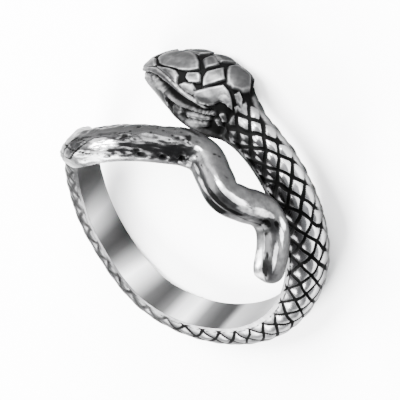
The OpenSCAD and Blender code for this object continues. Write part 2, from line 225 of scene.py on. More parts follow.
# %% [markdown]
# ## Measuring along the snake
# Scales repeat by distance and not by turn, so the middle line is measured once.
# A table of milestones then gives the turn for each distance along the snake,
# which the lesson calls a way.

# %% Milestones
def unrolled(station):
    return Vector((-math.radians(station[TURN]) * FINGER_R, station[RISE]))


milestones = [(0.0, 0.0)]
while milestones[-1][1] < stations[-1][TURN]:
    way, turn = milestones[-1]
    leg = (unrolled(station_at(turn + 1)) - unrolled(station_at(turn))).length
    milestones.append((way + leg, turn + 1))
milestones = [m for m in milestones if m[1] <= stations[-1][TURN]]


def lookup(value, table, key=0, result=1):
    for low, high in zip(table, table[1:]):
        if value <= high[key]:
            share = clamp((value - low[key]) / (high[key] - low[key]))
            return mix(low[result], high[result], share)
    return table[-1][result]


snake_l = milestones[-1][0]
head_end = lookup(head_angle, milestones, 1, 0)
scaled_end = lookup(SCALED_TURN, milestones, 1, 0)
scale_count = round((scaled_end - head_end) / SCALE_L)
snout_r = HEAD_T * SNOUT_ROUND
bare_end = snake_l - TIP_W / 2
print("snake", round(snake_l, 1), "mm long, head to", round(head_end, 1), "mm,",
      scale_count, "scales to", round(scaled_end, 1), "mm")

# %% [markdown]
# ## The head's plates
# On the real head smooth plates stand between wide black grooves. Each plate is
# a short list of corners: its share of the head's length, and its place across
# the head. That is 0 on the crown, 1 at the lips on the tail's side, 2 where the
# jaw meets the finger, and the same with a minus on the far side. A point's
# depth inside the nearest plate says whether it is on a plate, on its bevel or
# down in a groove.

# %% Plates, lips and mouth
plates = [
    [(0.02, 0.60), (0.08, 0.14), (0.10, -0.06), (0.20, 0.22), (0.28, 0.57), (0.28, 0.64),
     (0.16, 0.66)],
    [(0.02, -0.10), (0.03, -0.50), (0.12, -0.62), (0.26, -0.34), (0.14, -0.10)],
    [(0.24, 0.24), (0.22, -0.08), (0.34, -0.15), (0.50, 0.01), (0.57, 0.14), (0.62, 0.31),
     (0.58, 0.43), (0.52, 0.52), (0.41, 0.56), (0.33, 0.52)],
    [(0.31, 0.63), (0.41, 0.60), (0.49, 0.60), (0.53, 0.68), (0.55, 0.87), (0.49, 0.86),
     (0.40, 0.76)],
    [(0.59, 0.63), (0.58, 0.50), (0.64, 0.39), (0.66, 0.43), (0.69, 0.58), (0.63, 0.68)],
    [(0.57, 0.86), (0.60, 0.74), (0.65, 0.70), (0.68, 0.76), (0.69, 0.89), (0.63, 0.92)],
    [(0.69, 0.92), (0.69, 0.79), (0.75, 0.60), (0.82, 0.37), (0.87, 0.42), (0.96, 0.62),
     (0.80, 0.92), (0.74, 0.97)],
    [(0.69, 0.45), (0.68, 0.29), (0.74, 0.02), (0.81, 0.24), (0.77, 0.43), (0.72, 0.62)],
    [(0.57, 0.02), (0.57, -0.12), (0.61, -0.12), (0.69, 0.00), (0.68, 0.09), (0.65, 0.21)],
    [(0.76, -0.06), (0.80, -0.36), (0.90, -0.34), (0.96, -0.06), (0.94, 0.16), (0.89, 0.30),
     (0.84, 0.28)],
    [(0.33, -0.20), (0.36, -0.62), (0.48, -0.62), (0.53, -0.24), (0.49, -0.07), (0.41, -0.08)],
    [(0.56, -0.20), (0.56, -0.62), (0.70, -0.68), (0.76, -0.36), (0.73, -0.20), (0.68, -0.08)],
    [(0.68, -0.86), (0.74, -0.92), (0.88, -0.80), (0.93, -0.50), (0.84, -0.44), (0.74, -0.50)],
    [(0.30, -0.68), (0.36, -0.78), (0.50, -0.80), (0.50, -0.68)],
    [(0.54, -0.74), (0.53, -0.90), (0.66, -0.92), (0.66, -0.78)],
    [(0.92, 0.38), (0.93, 0.24), (0.97, 0.22), (0.99, 0.32), (0.96, 0.42)],
    [(0.97, 0.52), (0.98, 0.40), (1.03, 0.36), (1.04, 0.48), (1.01, 0.56)],
    [(1.00, 0.22), (1.02, 0.06), (1.07, 0.10), (1.06, 0.26)],
]
jaw_plates = [
    [(0.00, 1.12), (0.16, 1.06), (0.30, 1.16), (0.45, 1.30), (0.46, 2.20), (-0.10, 2.20)],
    [(0.45, 1.31), (0.72, 1.17), (0.74, 1.27), (0.60, 1.40), (0.45, 1.44)],
    [(0.73, 1.15), (0.86, 1.00), (0.88, 1.06), (0.75, 1.26)],
    [(0.54, 1.60), (0.57, 1.46), (0.62, 1.44), (0.64, 1.54), (0.60, 1.68), (0.55, 1.74)],
    [(0.66, 1.44), (0.76, 1.32), (0.84, 1.18), (0.86, 1.28), (0.78, 1.46), (0.68, 1.58)],
    [(0.67, 1.68), (0.76, 1.54), (0.84, 1.38), (0.86, 1.52), (0.78, 1.72), (0.68, 1.86)],
    [(0.88, 1.24), (0.92, 1.12), (0.97, 1.16), (0.93, 1.34)],
    [(0.90, 0.98), (0.93, 0.88), (0.98, 0.92), (0.95, 1.06)],
]
# the hollow behind the corner of the mouth, on both sides
lip_recess = [(0.83, 0.85), (0.86, 0.73), (0.91, 0.69), (0.95, 0.71), (0.96, 0.84), (0.90, 0.95)]
# share of the head's length, upper edge of the lip
lip_edge = [(0.00, 0.64), (0.32, 0.69), (0.40, 0.79), (0.49, 0.89), (0.63, 0.95), (0.70, 0.96),
            (0.78, 1.00), (1.00, 1.20)]
# share of the head's length, lower edge of the lip
lip_under = [(0.00, 0.88), (0.36, 0.94), (0.45, 1.04), (0.53, 1.10), (0.70, 1.10), (0.80, 1.03)]
# share of the head's length, middle of the mouth's gap, half of its width
mouth_rows = [(0.15, 0.98, 0.02), (0.30, 1.09, 0.08), (0.45, 1.19, 0.14), (0.65, 1.20, 0.14),
              (0.75, 1.12, 0.09), (0.84, 1.00, 0.02)]
# half of the way over the dome as a share of the width, the jaw's height in millimetres, and
# how far across the head the jaw's plates start
GIRTH_SHARE, JAW_GIRTH, JAW_FROM = 0.65, 1.4, 0.8
half_girth = HEAD_W * GIRTH_SHARE


def down(over):
    """Distance from the crown, in millimetres, of a place across the head."""
    return half_girth * clamp(over, -1, 1) + JAW_GIRTH * (max(0, over - 1) + min(0, over + 1))


def edges_of(corners):
    points = [Vector((along * HEAD_L, down(over))) for along, over in corners]
    return [(a, (b - a).normalized()) for a, b in zip(points, points[1:] + points[:1])]


def reach_in(x, y, edges):
    """How far a point lies inside a plate's outline, in millimetres."""
    return min(d.x * (y - a.y) - d.y * (x - a.x) for a, d in edges)


plate_edges = [edges_of(corners) for corners in plates]
jaw_edges = [edges_of(corners) for corners in jaw_plates]
recess_edges = edges_of(lip_recess)


def plate_depth(along, over):
    x, y = along * HEAD_L, down(over)
    best = max(reach_in(x, y, edges) for edges in plate_edges)
    if abs(over) > JAW_FROM:
        best = max(best, max(reach_in(x, abs(y), edges) for edges in jaw_edges))
    lip = min(abs(y) - down(lookup(along, lip_edge)), down(lookup(along, lip_under)) - abs(y))
    return max(best, lip)


print("plates:", len(plates), "and", 2 * len(jaw_plates), "on the jaw")

# %% [markdown]
# ## Relief of the skin
# Three kinds of relief cover the snake. Diamond scales cover the body, in a
# lattice of two crossing sets of grooves. Plates cover the head. The arm is
# beaten and pitted, and the tail is only a little uneven. Each function gives a
# height and how black the spot stays after polishing.

# %% Diamond scales
# degrees around the snake that one scale and one millimetre of its skin cover
SCALE_ANGLE, DEGREES_A_MM = 45, 45.0
# how far a scale's corners wander and how much lower a scale can be, as shares of a scale
SCALE_WANDER, WANDER_SPACING, SCALE_UNEVEN = 0.12, 1.3, 0.15
WANDER_LAYERS, UNEVEN_LAYER = (4.0, 9.0), 0.5
# the fully black share of a line, and the degrees over which the lines end
LINE_CORE, LINES_END = 0.45, 20
# angle of the strip that rubs most, and where it starts to fade and ends on either side
RUBBED_ANGLE, RUBBED_HALF, RUBBED_END = 116, 10, 28
# shares of that strip's black lines and relief that are gone
RUBBED_LINES, RUBBED_RELIEF = 0.75, 0.5


def triangle(n):
    """0 on a groove, 1 half way between two grooves."""
    return 1 - abs(2 * (n - math.floor(n)) - 1)


def scale_relief(way, angle, line, centre, spread):
    i = (way - head_end) / (scaled_end - head_end) * scale_count
    j = angle / SCALE_ANGLE
    spots = [Vector((i * WANDER_SPACING, j * WANDER_SPACING, layer)) for layer in WANDER_LAYERS]
    wander = [noise.noise(spot) * SCALE_WANDER for spot in spots]
    i, j = i + wander[0], j + wander[1]
    m = min(triangle(i + j), triangle(i - j))
    cell = Vector((math.floor(i + j), math.floor(i - j), UNEVEN_LAYER))
    tall = 1 - SCALE_UNEVEN * noise.cell(cell)
    pillow = (1 - (1 - triangle(i + j)) ** 2) * (1 - (1 - triangle(i - j)) ** 2)
    strip = 1 - smoothstep(RUBBED_HALF, RUBBED_END, abs(angle - RUBBED_ANGLE))
    lines = 1 - smoothstep(spread, spread + LINES_END, abs(angle - centre))
    black = (1 - smoothstep(LINE_CORE * line, line, m)) * (lines * (1 - RUBBED_LINES * strip))
    return -SCALE_RELIEF * (1 - pillow * tall) * (1 - RUBBED_RELIEF * strip), black


half_way = scale_relief(head_end + SCALE_L / 2, 90, 0.3, 90, 90)
print("relief half way along a scale:", round(half_way[0], 3), "mm")

# %% Head plates and mouth
# how much lower a plate's edge is than its middle, and how far in from the edge that reaches
PLATE_CROWN, CROWN_REACH = 0.05, 0.6
# depths inside a plate where its bright rim starts and ends, partly rubbed and partly a
# painted glint, and the recess's edge
RIM_START, RIM_END, RECESS_EDGE = (0.0, 0.05), (0.08, 0.18), (-0.02, 0.06)
# shares of the mouth's half width where its gap is full and where it ends
GAP_FULL, GAP_END = 0.5, 1.3


def head_relief(along, over):
    """Height, blackness and bright edge of a place on the head, partly rubbed, partly a painted
    glint.
    """
    depth = plate_depth(along, over)
    height = smoothstep(-PLATE_BEVEL / 2, PLATE_BEVEL / 2, depth - (PLATE_GAP - PLATE_BEVEL) / 2)
    crowned = PLATE_CROWN * (1 - smoothstep(0, CROWN_REACH, depth))
    recess = reach_in(along * HEAD_L, abs(down(over)), recess_edges)
    height = min(height, 1 - smoothstep(*RECESS_EDGE, recess))
    rim_rub_and_glint = smoothstep(*RIM_START, depth) * (1 - smoothstep(*RIM_END, depth))
    return -PLATE_RELIEF * (1 - height) - crowned * height, 1 - height, rim_rub_and_glint


def mouth_gap(along, over):
    middle, half = lookup(along, mouth_rows), lookup(along, mouth_rows, 0, 2)
    inside = mouth_rows[0][0] < along < mouth_rows[-1][0]
    off = abs(abs(over) - middle)
    return inside * (1 - smoothstep(GAP_FULL * half, GAP_END * half, off))


print("a groove of the head is", -round(head_relief(0.57, 0.4)[0], 2), "mm deep")

# %% Pits and dents
# shuffles the cells that have a pit, and the flat share of a pit's radius
CELL_SHUFFLE, PIT_FLOOR = 7.3, 0.2
# start of the pattern, spacing, radius as a share of it, share of the cells with a pit, depth,
# blackness
pits = [((0, 0, 0), 0.8, 0.42, 0.5, 0.07, 0.8), ((5, 3, 1), 0.38, 0.45, 0.6, 0.05, 0.7)]
# turn, angle and radius in millimetres of the casting's three large flaws
flaws = [(383, -14, 0.34), (392, -8, 0.28), (400, -4, 0.36)]
FLAW_FLOOR, FLAW_DEPTH = 0.4, 0.16
DENT_SPACING, DENT_DETAIL, DENT_BLACK = 0.55, 0.5, 0.25


def pit(place, spacing, radius, share):
    """Scattered round pits: 1 in the middle of one."""
    near, cells = noise.voronoi(place / spacing)
    if noise.cell(cells[0] * CELL_SHUFFLE) > share:
        return 0.0
    return 1 - smoothstep(PIT_FLOOR * radius, radius, near[0])


def beaten_relief(way, turn, angle):
    """Height and blackness of the arm, which is hammered and full of pits."""
    place = Vector((way, angle / DEGREES_A_MM, 0))
    dents = noise.noise(place / DENT_SPACING) + DENT_DETAIL * noise.noise(place * 2 / DENT_SPACING)
    depth, black = HAMMER_DEPTH * dents, 0.0
    for start, spacing, radius, share, pit_depth, pit_black in pits:
        here = pit(place + Vector(start), spacing, radius, share)
        depth += pit_depth * here
        black += pit_black * here
    flaw = 0.0
    for flaw_turn, flaw_angle, radius in flaws:
        off = math.hypot(math.radians(turn - flaw_turn) * FINGER_R,
                         (angle - flaw_angle) / DEGREES_A_MM)
        flaw = max(flaw, 1 - smoothstep(FLAW_FLOOR * radius, radius, off))
    return -depth - FLAW_DEPTH * flaw, clamp(black + flaw + DENT_BLACK * dents)


print("sizes of pits:", len(pits), "large flaws:", len(flaws))

# %% [markdown]
# ## Where the polishing wheel reached, with painted light
# The wheel brightens what stands out and misses what lies low: the side of the
# body toward the tail, the neck and the lower half of the arm stay dark, and this
# dark is partly painted shade. The first table gives the polish at places across
# the snake, from the wall on the tail's side over the dome to the far side. It
# also holds painted highlights, such as the arm's bright lower rim, and painted
# shade. The second gives it along the finger's wall, where its light and dark
# bands are painted reflections. The third says how wide and how black the lines
# between the scales are and where they show, and the fourth how satin the metal
# is. A list of patches adds painted glints and painted dark reflections, and a
# few rubbed and tarnished spots. Rims of the head's plates catch some more
# polish, partly as painted glints, and where there is almost none the black film
# stays, over the painted dark reflections too.

# %% Polish of the skin
# angles around the snake: the foot of the wall on the tail's side, the dome, the far side
WALL_FOOT = -30
ACROSS = (WALL_FOOT, 0, 30, 60, 90, 120, 180)
# polish that a rim gains, partly rubbing and partly a painted glint, and the polish under
# which the black film stays, which over painted dark reflections is painted shade
RIM_RUB_AND_GLINT, FILM_AND_PAINTED_SHADE_UNDER = 0.14, 0.06
# turn, polish at each of those angles, with painted highlights and painted shade in it
painted_light_and_polish_rows = [
    (0, 0.35, 0.36, 0.20, 0.16, 0.08, 0.08, 0.30),
    (14, 0.20, 0.32, 0.20, 0.16, 0.08, 0.08, 0.30),
    (24, 0.05, 0.25, 0.20, 0.16, 0.08, 0.08, 0.30),
    (36, 0.02, 0.15, 0.20, 0.17, 0.09, 0.08, 0.30),
    (46, 0.02, 0.08, 0.20, 0.18, 0.10, 0.08, 0.30),
    (56, 0.01, 0.06, 0.20, 0.60, 0.45, 0.10, 0.35),
    (80, 0.01, 0.05, 0.15, 0.72, 0.60, 0.12, 0.40),
    (110, 0.01, 0.06, 0.20, 0.65, 0.50, 0.14, 0.40),
    (140, 0.10, 0.25, 0.60, 0.60, 0.38, 0.18, 0.40),
    (165, 0.25, 0.35, 0.50, 0.45, 0.30, 0.22, 0.40),
    (200, 0.18, 0.22, 0.28, 0.32, 0.26, 0.22, 0.40),
    (260, 0.14, 0.15, 0.20, 0.26, 0.26, 0.22, 0.40),
    (330, 0.15, 0.16, 0.22, 0.26, 0.26, 0.22, 0.40),
    (350, 0.40, 0.44, 0.40, 0.30, 0.18, 0.12, 0.30),
    (360, 0.40, 0.26, 0.22, 0.16, 0.10, 0.09, 0.30),
    (368, 0.60, 0.15, 0.20, 0.12, 0.07, 0.09, 0.30),
    (376, 0.50, 0.06, 0.08, 0.10, 0.07, 0.09, 0.30),
    (380, 0.50, 0.05, 0.05, 0.09, 0.07, 0.09, 0.30),
    (401, 0.50, 0.05, 0.05, 0.09, 0.07, 0.09, 0.30),
    (406, 0.30, 0.15, 0.12, 0.14, 0.11, 0.11, 0.30),
    (412, 0.30, 0.20, 0.15, 0.14, 0.11, 0.11, 0.30),
    (420, 0.25, 0.20, 0.12, 0.12, 0.11, 0.11, 0.30),
    (426, 0.20, 0.10, 0.08, 0.20, 0.12, 0.12, 0.30),
    (432, 0.30, 0.20, 0.20, 0.20, 0.13, 0.12, 0.30),
    (438, 0.35, 0.30, 0.30, 0.25, 0.15, 0.13, 0.30),
    (443, 0.25, 0.15, 0.10, 0.18, 0.16, 0.14, 0.30),
    (450, 0.15, 0.05, 0.04, 0.12, 0.18, 0.14, 0.30),
    (456, 0.30, 0.20, 0.12, 0.20, 0.20, 0.14, 0.30),
    (464, 0.40, 0.40, 0.12, 0.30, 0.18, 0.14, 0.30),
    (468, 0.35, 0.30, 0.12, 0.25, 0.16, 0.14, 0.30),
    (471, 0.35, 0.30, 0.20, 0.25, 0.16, 0.14, 0.30),
]
# turn, polish of the finger's wall, whose light and dark bands are painted reflections
wall_painted_reflection = [
    (0, 0.35), (172, 0.50), (180, 0.57), (186, 0.60), (191, 0.13), (196, 0.15), (203, 0.30),
    (210, 0.90), (216, 0.70), (221, 0.24), (226, 0.11), (231, 0.18), (238, 0.65), (244, 1.00),
    (249, 0.55), (256, 0.16), (260, 0.09), (265, 0.16), (270, 0.42), (277, 0.70), (284, 0.50),
    (290, 0.26), (296, 0.19), (302, 0.14), (340, 0.14), (360, 0.20), (467, 0.40),
]
# turn, width of the black line as a share of half a scale, how black it is, angle of the
# middle of the lined strip and half of its width
groove_rows = [(40, 0.52, 1.0, 75, 130), (80, 0.40, 1.0, 75, 130), (120, 0.34, 1.0, 70, 110),
               (150, 0.30, 1.0, 60, 50), (180, 0.30, 1.0, 45, 40), (205, 0.32, 0.9, 30, 40),
               (225, 0.46, 0.57, 12, 32), (325, 0.46, 0.53, 10, 32), (338, 0.34, 0.8, 20, 50),
               (346, 0.24, 1.0, 20, 60), (360, 0.22, 1.0, 10, 50)]
# turn, how satin the metal is
satin_rows = [(0, 1.0), (52, 0.9), (66, 0.2), (130, 0.2), (160, 0.6), (240, 0.6), (325, 0.6),
              (340, 0.4), (352, 0.4), (366, 0.3), (396, 0.3), (406, 0.8), (424, 0.8), (432, 1.0),
              (445, 1.0), (452, 0.8)]
# turn and angle of a patch, half its size in both, and its polish: most are painted glints
# and painted dark reflections, a few are rubbed and tarnished spots
painted_light_and_wear_patches = [
    (36, 13, 5.0, 8, 0.08), (44, 34, 2.5, 8, 0.50), (16, 62, 4.0, 12, 0.16),
    (28, -20, 9.0, 8, 0.05), (42, -15, 8.0, 12, 0.03), (377, -8, 7.0, 11, 0.10),
    (387, -9, 7.0, 11, 0.08), (396, -10, 7.0, 11, 0.06), (369, 26, 6, 18, 1.00),
    (407, 57, 2.5, 10, 0.80), (408, 18, 3.0, 12, 0.45), (415, 1, 3.0, 9, 0.80),
    (421, -10, 3.0, 8, 1.00), (427, -17, 3.5, 12, 0.00), (426, 8, 3.5, 12, 0.00),
    (431, 10, 3.0, 10, 0.02), (428, 58, 6.0, 13, 1.00), (434, 40, 4.0, 14, 0.60),
    (439, 55, 4.0, 14, 0.60), (443, 60, 3.5, 10, 0.60), (446, 27, 6.5, 14, 0.015),
    (451, 58, 3.0, 11, 0.02), (456, 6, 3.0, 12, 0.03), (452, 84, 3.0, 9, 0.90),
    (457, 70, 3.5, 9, 0.95), (464, 46, 4.5, 9, 1.00), (465, -18, 3.5, 8, 1.00),
    (461, 10, 5.0, 17, 0.06), (467, 12, 4.0, 20, 0.025),
]
# share of a patch that is full, its end, and the farthest that its ragged edge can reach
PATCH_FULL, PATCH_END, PATCH_REACH = 0.7, 1.1, 1.5
# strength of a noise on the patches' edges, its scale by turn and by angle, and its layer
edge_noises = [(0.3, 0.4, 0.07, 2.0), (0.25, 1.6, 0.28, 5.0)]


# polish at a place, with the painted highlights and painted shade of its tables
def painted_light_and_polish_at(turn, angle):
    shares = [lookup(turn, painted_light_and_polish_rows, 0, k + 1) for k in range(len(ACROSS))]
    level = lookup(angle, list(zip(ACROSS, shares)))
    ragged = sum(strength * noise.noise(Vector((turn * by_turn, angle * by_angle, layer)))
                 for strength, by_turn, by_angle, layer in edge_noises)
    for middle, aside, long, wide, value in painted_light_and_wear_patches:
        near = abs(turn - middle) < PATCH_REACH * long and abs(angle - aside) < PATCH_REACH * wide
        if near:
            reach = math.hypot((turn - middle) / long, (angle - aside) / wide) + ragged
            level = mix(level, value, 1 - smoothstep(PATCH_FULL, PATCH_END, reach))
    return level


def finish_and_painted_light_at(turn, angle, black, rim_rub_and_glint):
    """Black and shine: edges gain rub and painted glint; low shine leaves film and painted shade.
    """
    level = min(1.0, painted_light_and_polish_at(turn, angle) + RIM_RUB_AND_GLINT * rim_rub_and_glint)
    # low polish leaves the black film, which over painted dark reflections is painted shade
    return max(black, 1 - smoothstep(0.0, FILM_AND_PAINTED_SHADE_UNDER, level)), level


print("polish on the arm's lower half:", round(painted_light_and_polish_at(385, 30), 2))

# %% [markdown]
# ## From a flat sheet to the snake
# The skin starts as one flat grid with a row for each section along the snake
# and a column for each place around it. Every point is then laid on the wrap:
# up one side, over the dome, down the other side and back along the finger.
# Points that would fall inside the finger stay on its wall, so the inner face is
# the same smooth cylinder that the solid has. Each point also carries its black,
# which is partly painted shade, its polish, which holds painted highlights and
# painted shade, how satin it is and whether it is on the skin or on that inner wall.

# %% Rows along the snake and columns around it
HEAD_ROWS, ROWS_A_SCALE, TAIL_ROWS, END_ROWS = 140, 13, 110, 8
WALL, DOME, INNER = 16, 84, 8
ways = [snout_r * (1 - math.cos(math.pi / 2 * k / END_ROWS)) for k in range(END_ROWS)]
ways += [mix(snout_r, head_end, k / HEAD_ROWS) for k in range(HEAD_ROWS)]
body_count = scale_count * ROWS_A_SCALE
ways += [mix(head_end, scaled_end, k / body_count) for k in range(body_count)]
ways += [mix(scaled_end, bare_end, k / TAIL_ROWS) for k in range(TAIL_ROWS)]
ways += [bare_end + TIP_W / 2 * math.sin(math.pi / 2 * k / END_ROWS) for k in range(END_ROWS + 1)]
around = 2 * WALL + DOME + 1 + INNER
print("rows:", len(ways), "columns:", around, "faces:", (len(ways) - 1) * around)


def round_end(way, r):
    return 1.0 if way >= r else math.sqrt(max(0.0, 1 - ((r - way) / r) ** 2))


def rounded(c):
    return math.copysign(abs(c) ** DOME_BOW, c)


# %% Laying one section
# bow of the dome: 1 is a circle, less is squarer. The inner wall's share of the foot's width
DOME_BOW, EDGE_SHARE = 0.87, 0.97
# share of the way up a wall, share of its bulge: beside the head and elsewhere
head_bulge = [(0, 0), (0.3, 0.55), (0.5, 0.82), (0.68, 1), (1, 1)]
plain_bulge = [(0, 0), (0.5, 0.7), (1, 1)]
LIPS_FROM = 0.7
# relief fades in on a wall between these shares of the way up: head, lines and pits
HEAD_FREE, LINES_FREE, PITS_FREE = (0.05, 0.25), (0.1, 0.4), (0.1, 0.5)
# degrees that the pits' pattern goes on down a wall, and the least beating that counts
PITS_DOWN, LEAST_BEATEN = 60, 0.01
# millimetres before and after the head's end where its plates give way to scales
NECK_BEFORE, NECK_AFTER = 0.3, 0.2
# turns where the last black lines fade, the dark pits set in, and how far both take
LAST_LINES, LINES_FADE, PITS_FROM, PITS_FADE = 358, 8, 364, 12
# the tail's unevenness: first turn, turns to fade in, millimetres, spacing, middle and layer
TAIL_FROM, TAIL_FADE, TAIL_UNEVEN, TAIL_SPACING = 400, 8, 0.06, 0.9
UNEVEN_MIDDLE, TAIL_LAYER = 0.5, 7.0
# the tail's specks: last turn, turns to fade out, depth, blackness, layer
SPECKS_TO, SPECKS_FADE, SPECK_DEPTH, SPECK_BLACK, SPECK_LAYER = 432, 14, 0.03, 0.8, 3.0
SPECK_SPACING, SPECK_RADIUS, SPECK_SHARE = 0.45, 0.42, 0.5


def tail_relief(way, turn, angle):
    """Depth and blackness of the bare tail's uneven, specked skin."""
    worn_place = Vector((way, angle / DEGREES_A_MM, TAIL_LAYER)) / TAIL_SPACING
    uneven = smoothstep(TAIL_FROM, TAIL_FROM + TAIL_FADE, turn)
    uneven *= UNEVEN_MIDDLE + noise.noise(worn_place)
    speck_place = Vector((way, angle / DEGREES_A_MM, SPECK_LAYER))
    speck = pit(speck_place, SPECK_SPACING, SPECK_RADIUS, SPECK_SHARE)
    speck *= 1 - smoothstep(SPECKS_TO - SPECKS_FADE, SPECKS_TO, turn)
    return TAIL_UNEVEN * uneven + SPECK_DEPTH * speck, SPECK_BLACK * speck


def laid_row(way):
    """The points of one section: place, black, polish, satin and skin or inner wall."""
    turn = lookup(way, milestones)
    s = station_at(turn)
    line, line_black, centre, spread = (lookup(turn, groove_rows, 0, k) for k in range(1, 5))
    satin_here = lookup(turn, satin_rows)
    ahead = unrolled(station_at(lookup(min(way + LOOK_AHEAD, snake_l), milestones)))
    behind = unrolled(station_at(lookup(max(way - LOOK_AHEAD, 0), milestones)))
    run = (ahead - behind).normalized()
    across = Vector((run.y, -run.x))
    here = unrolled(s)
    close = min(round_end(way, snout_r), round_end(snake_l - way, TIP_W / 2))
    half = s[WIDE] / 2 * close
    waist = s[WAIST] + max(0, s[CHIN])
    crown = waist + (s[THICK] - s[WAIST]) * close
    foot = mix(waist, s[CHIN], close)
    headed = 1 - smoothstep(head_end - NECK_BEFORE, head_end + NECK_AFTER, way)
    scaled = clamp(s[SCALED])
    beaten = clamp(s[BEATEN])
    lined = 1 - smoothstep(LAST_LINES, LAST_LINES + LINES_FADE, turn)
    bulge = head_bulge if headed > 0.5 else plain_bulge
    start = clamp(-foot / (waist - foot)) if waist > foot else 0.0
    points = []

    def lay(x, height, black, polish_and_painted_light, outer=1.0):
        off = x + s[LEAN] * max(0, height) / s[THICK]
        u = here.x + across.x * off
        z = here.y + across.y * off
        a = math.radians(SNOUT_ANGLE) + u / FINGER_R
        r = FINGER_R + max(0, height)
        points.append((r * math.cos(a), r * math.sin(a), z, black, polish_and_painted_light, satin_here, outer))

    def wall(side):
        """The wall on the tail's side (1), from its foot up, or the far one (-1), from its top."""
        shares = [mix(start, 1, k / WALL) for k in range(WALL)]
        for share in shares if side > 0 else reversed(shares):
            up = share - start
            dip, black, rim_rub_and_glint = 0.0, 0.0, 0.0
            if headed > 0:
                along, over = way / head_end, side * (2 - share)
                free = headed * smoothstep(*HEAD_FREE, up) * close
                lift, black, rim_rub_and_glint = head_relief(along, over)
                gap = mouth_gap(along, over)
                dip = free * (MOUTH_DEPTH * gap - lift)
                black = free * max(black, gap)
            elif side > 0 and lined > 0:
                below = scale_relief(way, WALL_FOOT * (1 - share), line, centre, spread)[1]
                black = lined * smoothstep(*LINES_FREE, up) * below * line_black
            if beaten > LEAST_BEATEN:
                down_the_wall = 90 - side * (90 + PITS_DOWN * (1 - share))
                lift, black = beaten_relief(way, turn, down_the_wall)
                free = beaten * smoothstep(*PITS_FREE, up)
                dip, black = -free * lift, free * black
            out = mix(s[FOOT], s[LIPS] if share > LIPS_FROM else 1, lookup(share, bulge))
            angle = WALL_FOOT * math.sqrt(1 - share) if side > 0 else 180
            lay(side * (half * out - dip), mix(foot, waist, share),
                *finish_and_painted_light_at(turn, angle, black, headed * rim_rub_and_glint))

    def dome():
        for j in range(DOME + 1):
            angle = 180 * j / DOME
            c, e = math.cos(math.radians(angle)), math.sin(math.radians(angle))
            lift, black, rim_rub_and_glint = 0.0, 0.0, 0.0
            if headed > 0:
                along, over = way / head_end, 1 - angle / 90
                plate_lift, plate_black, rim_rub_and_glint = head_relief(along, over)
                gap = mouth_gap(along, over)
                lift += headed * (plate_lift - MOUTH_DEPTH * gap)
                black += headed * max(plate_black, gap)
            if lined > 0 and headed < 1:
                scale_lift, scale_black = scale_relief(way, angle, line, centre, spread)
                lift += (1 - headed) * scaled * scale_lift
                black += (1 - headed) * lined * scale_black * line_black
            if beaten > LEAST_BEATEN:
                beaten_lift, beaten_black = beaten_relief(way, turn, angle)
                dark = smoothstep(PITS_FROM - PITS_FADE, PITS_FROM + PITS_FADE, turn)
                lift += beaten * beaten_lift
                black = max(black, beaten * beaten_black * dark)
            if turn > TAIL_FROM:
                tail_dip, tail_black = tail_relief(way, turn, angle)
                lift -= tail_dip
                black = max(black, tail_black)
            lift *= close
            lay((half * s[LIPS] + lift) * rounded(c),
                waist + (crown - waist + lift) * rounded(e),
                *finish_and_painted_light_at(turn, angle, black, headed * rim_rub_and_glint))

    def inner_wall():
        foot_half = half * mix(s[FOOT], 1, lookup(start, bulge))
        for k in range(INNER):
            reach = foot_half * EDGE_SHARE * (2 * k / (INNER - 1) - 1)
            # the finger's wall takes its polish from a table of painted reflection bands
            lay(reach, max(0, foot), 0.0, lookup(turn, wall_painted_reflection), outer=0.0)

    wall(1)
    dome()
    wall(-1)
    inner_wall()
    return points + points[:1]


print("points in one section:", len(laid_row(20.0)))

# %% [markdown]
# ## Laying the sheet
# A grid primitive gives the sheet and its own UV map. Its points come in rows,
# so each one is moved to its place on the snake in the same order. The two long
# edges then meet along the finger and the ends close to a point, and a merge by
# distance sews them. Four attributes carry each point's black, partly painted
# shade, polish with its painted highlights and painted shade, satin and side to
# the material.

# %% The snake's skin
def deselect():
    if bpy.context.mode != "OBJECT":
        bpy.ops.object.mode_set(mode="OBJECT")
    bpy.ops.object.select_all(action="DESELECT")


deselect()
bpy.ops.mesh.primitive_grid_add(x_subdivisions=around, y_subdivisions=len(ways) - 1, size=1)
snake = bpy.context.object
snake.name = "snake_skin"
laid = [point for way in ways for point in laid_row(way)]
upright = [turned @ Vector(point[:3]) for point in laid]
low = [min(v[k] for v in upright) for k in range(3)]
high = [max(v[k] for v in upright) for k in range(3)]
cad_middle = [(a + b) / 2 / MM for a, b in zip(*cad_box)]
lift = Vector([cad_middle[k] - (low[k] + high[k]) / 2 for k in range(3)])
skin = snake.data
print("grid points:", len(skin.vertices), "laid points:", len(laid))
skin.vertices.foreach_set("co", [c * MM for v in upright for c in v + lift])
for column, name in enumerate(("black", "polish_and_painted_light", "satin", "outer"), 3):
    attribute = skin.attributes.new(name, "FLOAT", "POINT")
    attribute.data.foreach_set("value", [point[column] for point in laid])
print("moved by", [round(c, 2) for c in lift], "mm")

# %% [markdown]
# ## Sewing the skin
# Merging, recalculating the normals and smoothing are done with the operators
# that a modeller would use. The angle keeps the edge of the finger's wall crisp.

# %% Merge, normals and smooth shading
# millimetres within which points are one, and degrees from which an edge stays crisp
SAME_PLACE, CRISP_FROM = 0.002, 50
bpy.ops.object.mode_set(mode="EDIT")
bpy.ops.mesh.select_all(action="SELECT")
bpy.ops.mesh.remove_doubles(threshold=SAME_PLACE * MM)
bpy.ops.mesh.normals_make_consistent(inside=False)
bpy.ops.object.mode_set(mode="OBJECT")
bpy.ops.object.shade_smooth_by_angle(angle=math.radians(CRISP_FROM))
print("skin:", len(skin.vertices), "points,", len(skin.polygons), "faces")

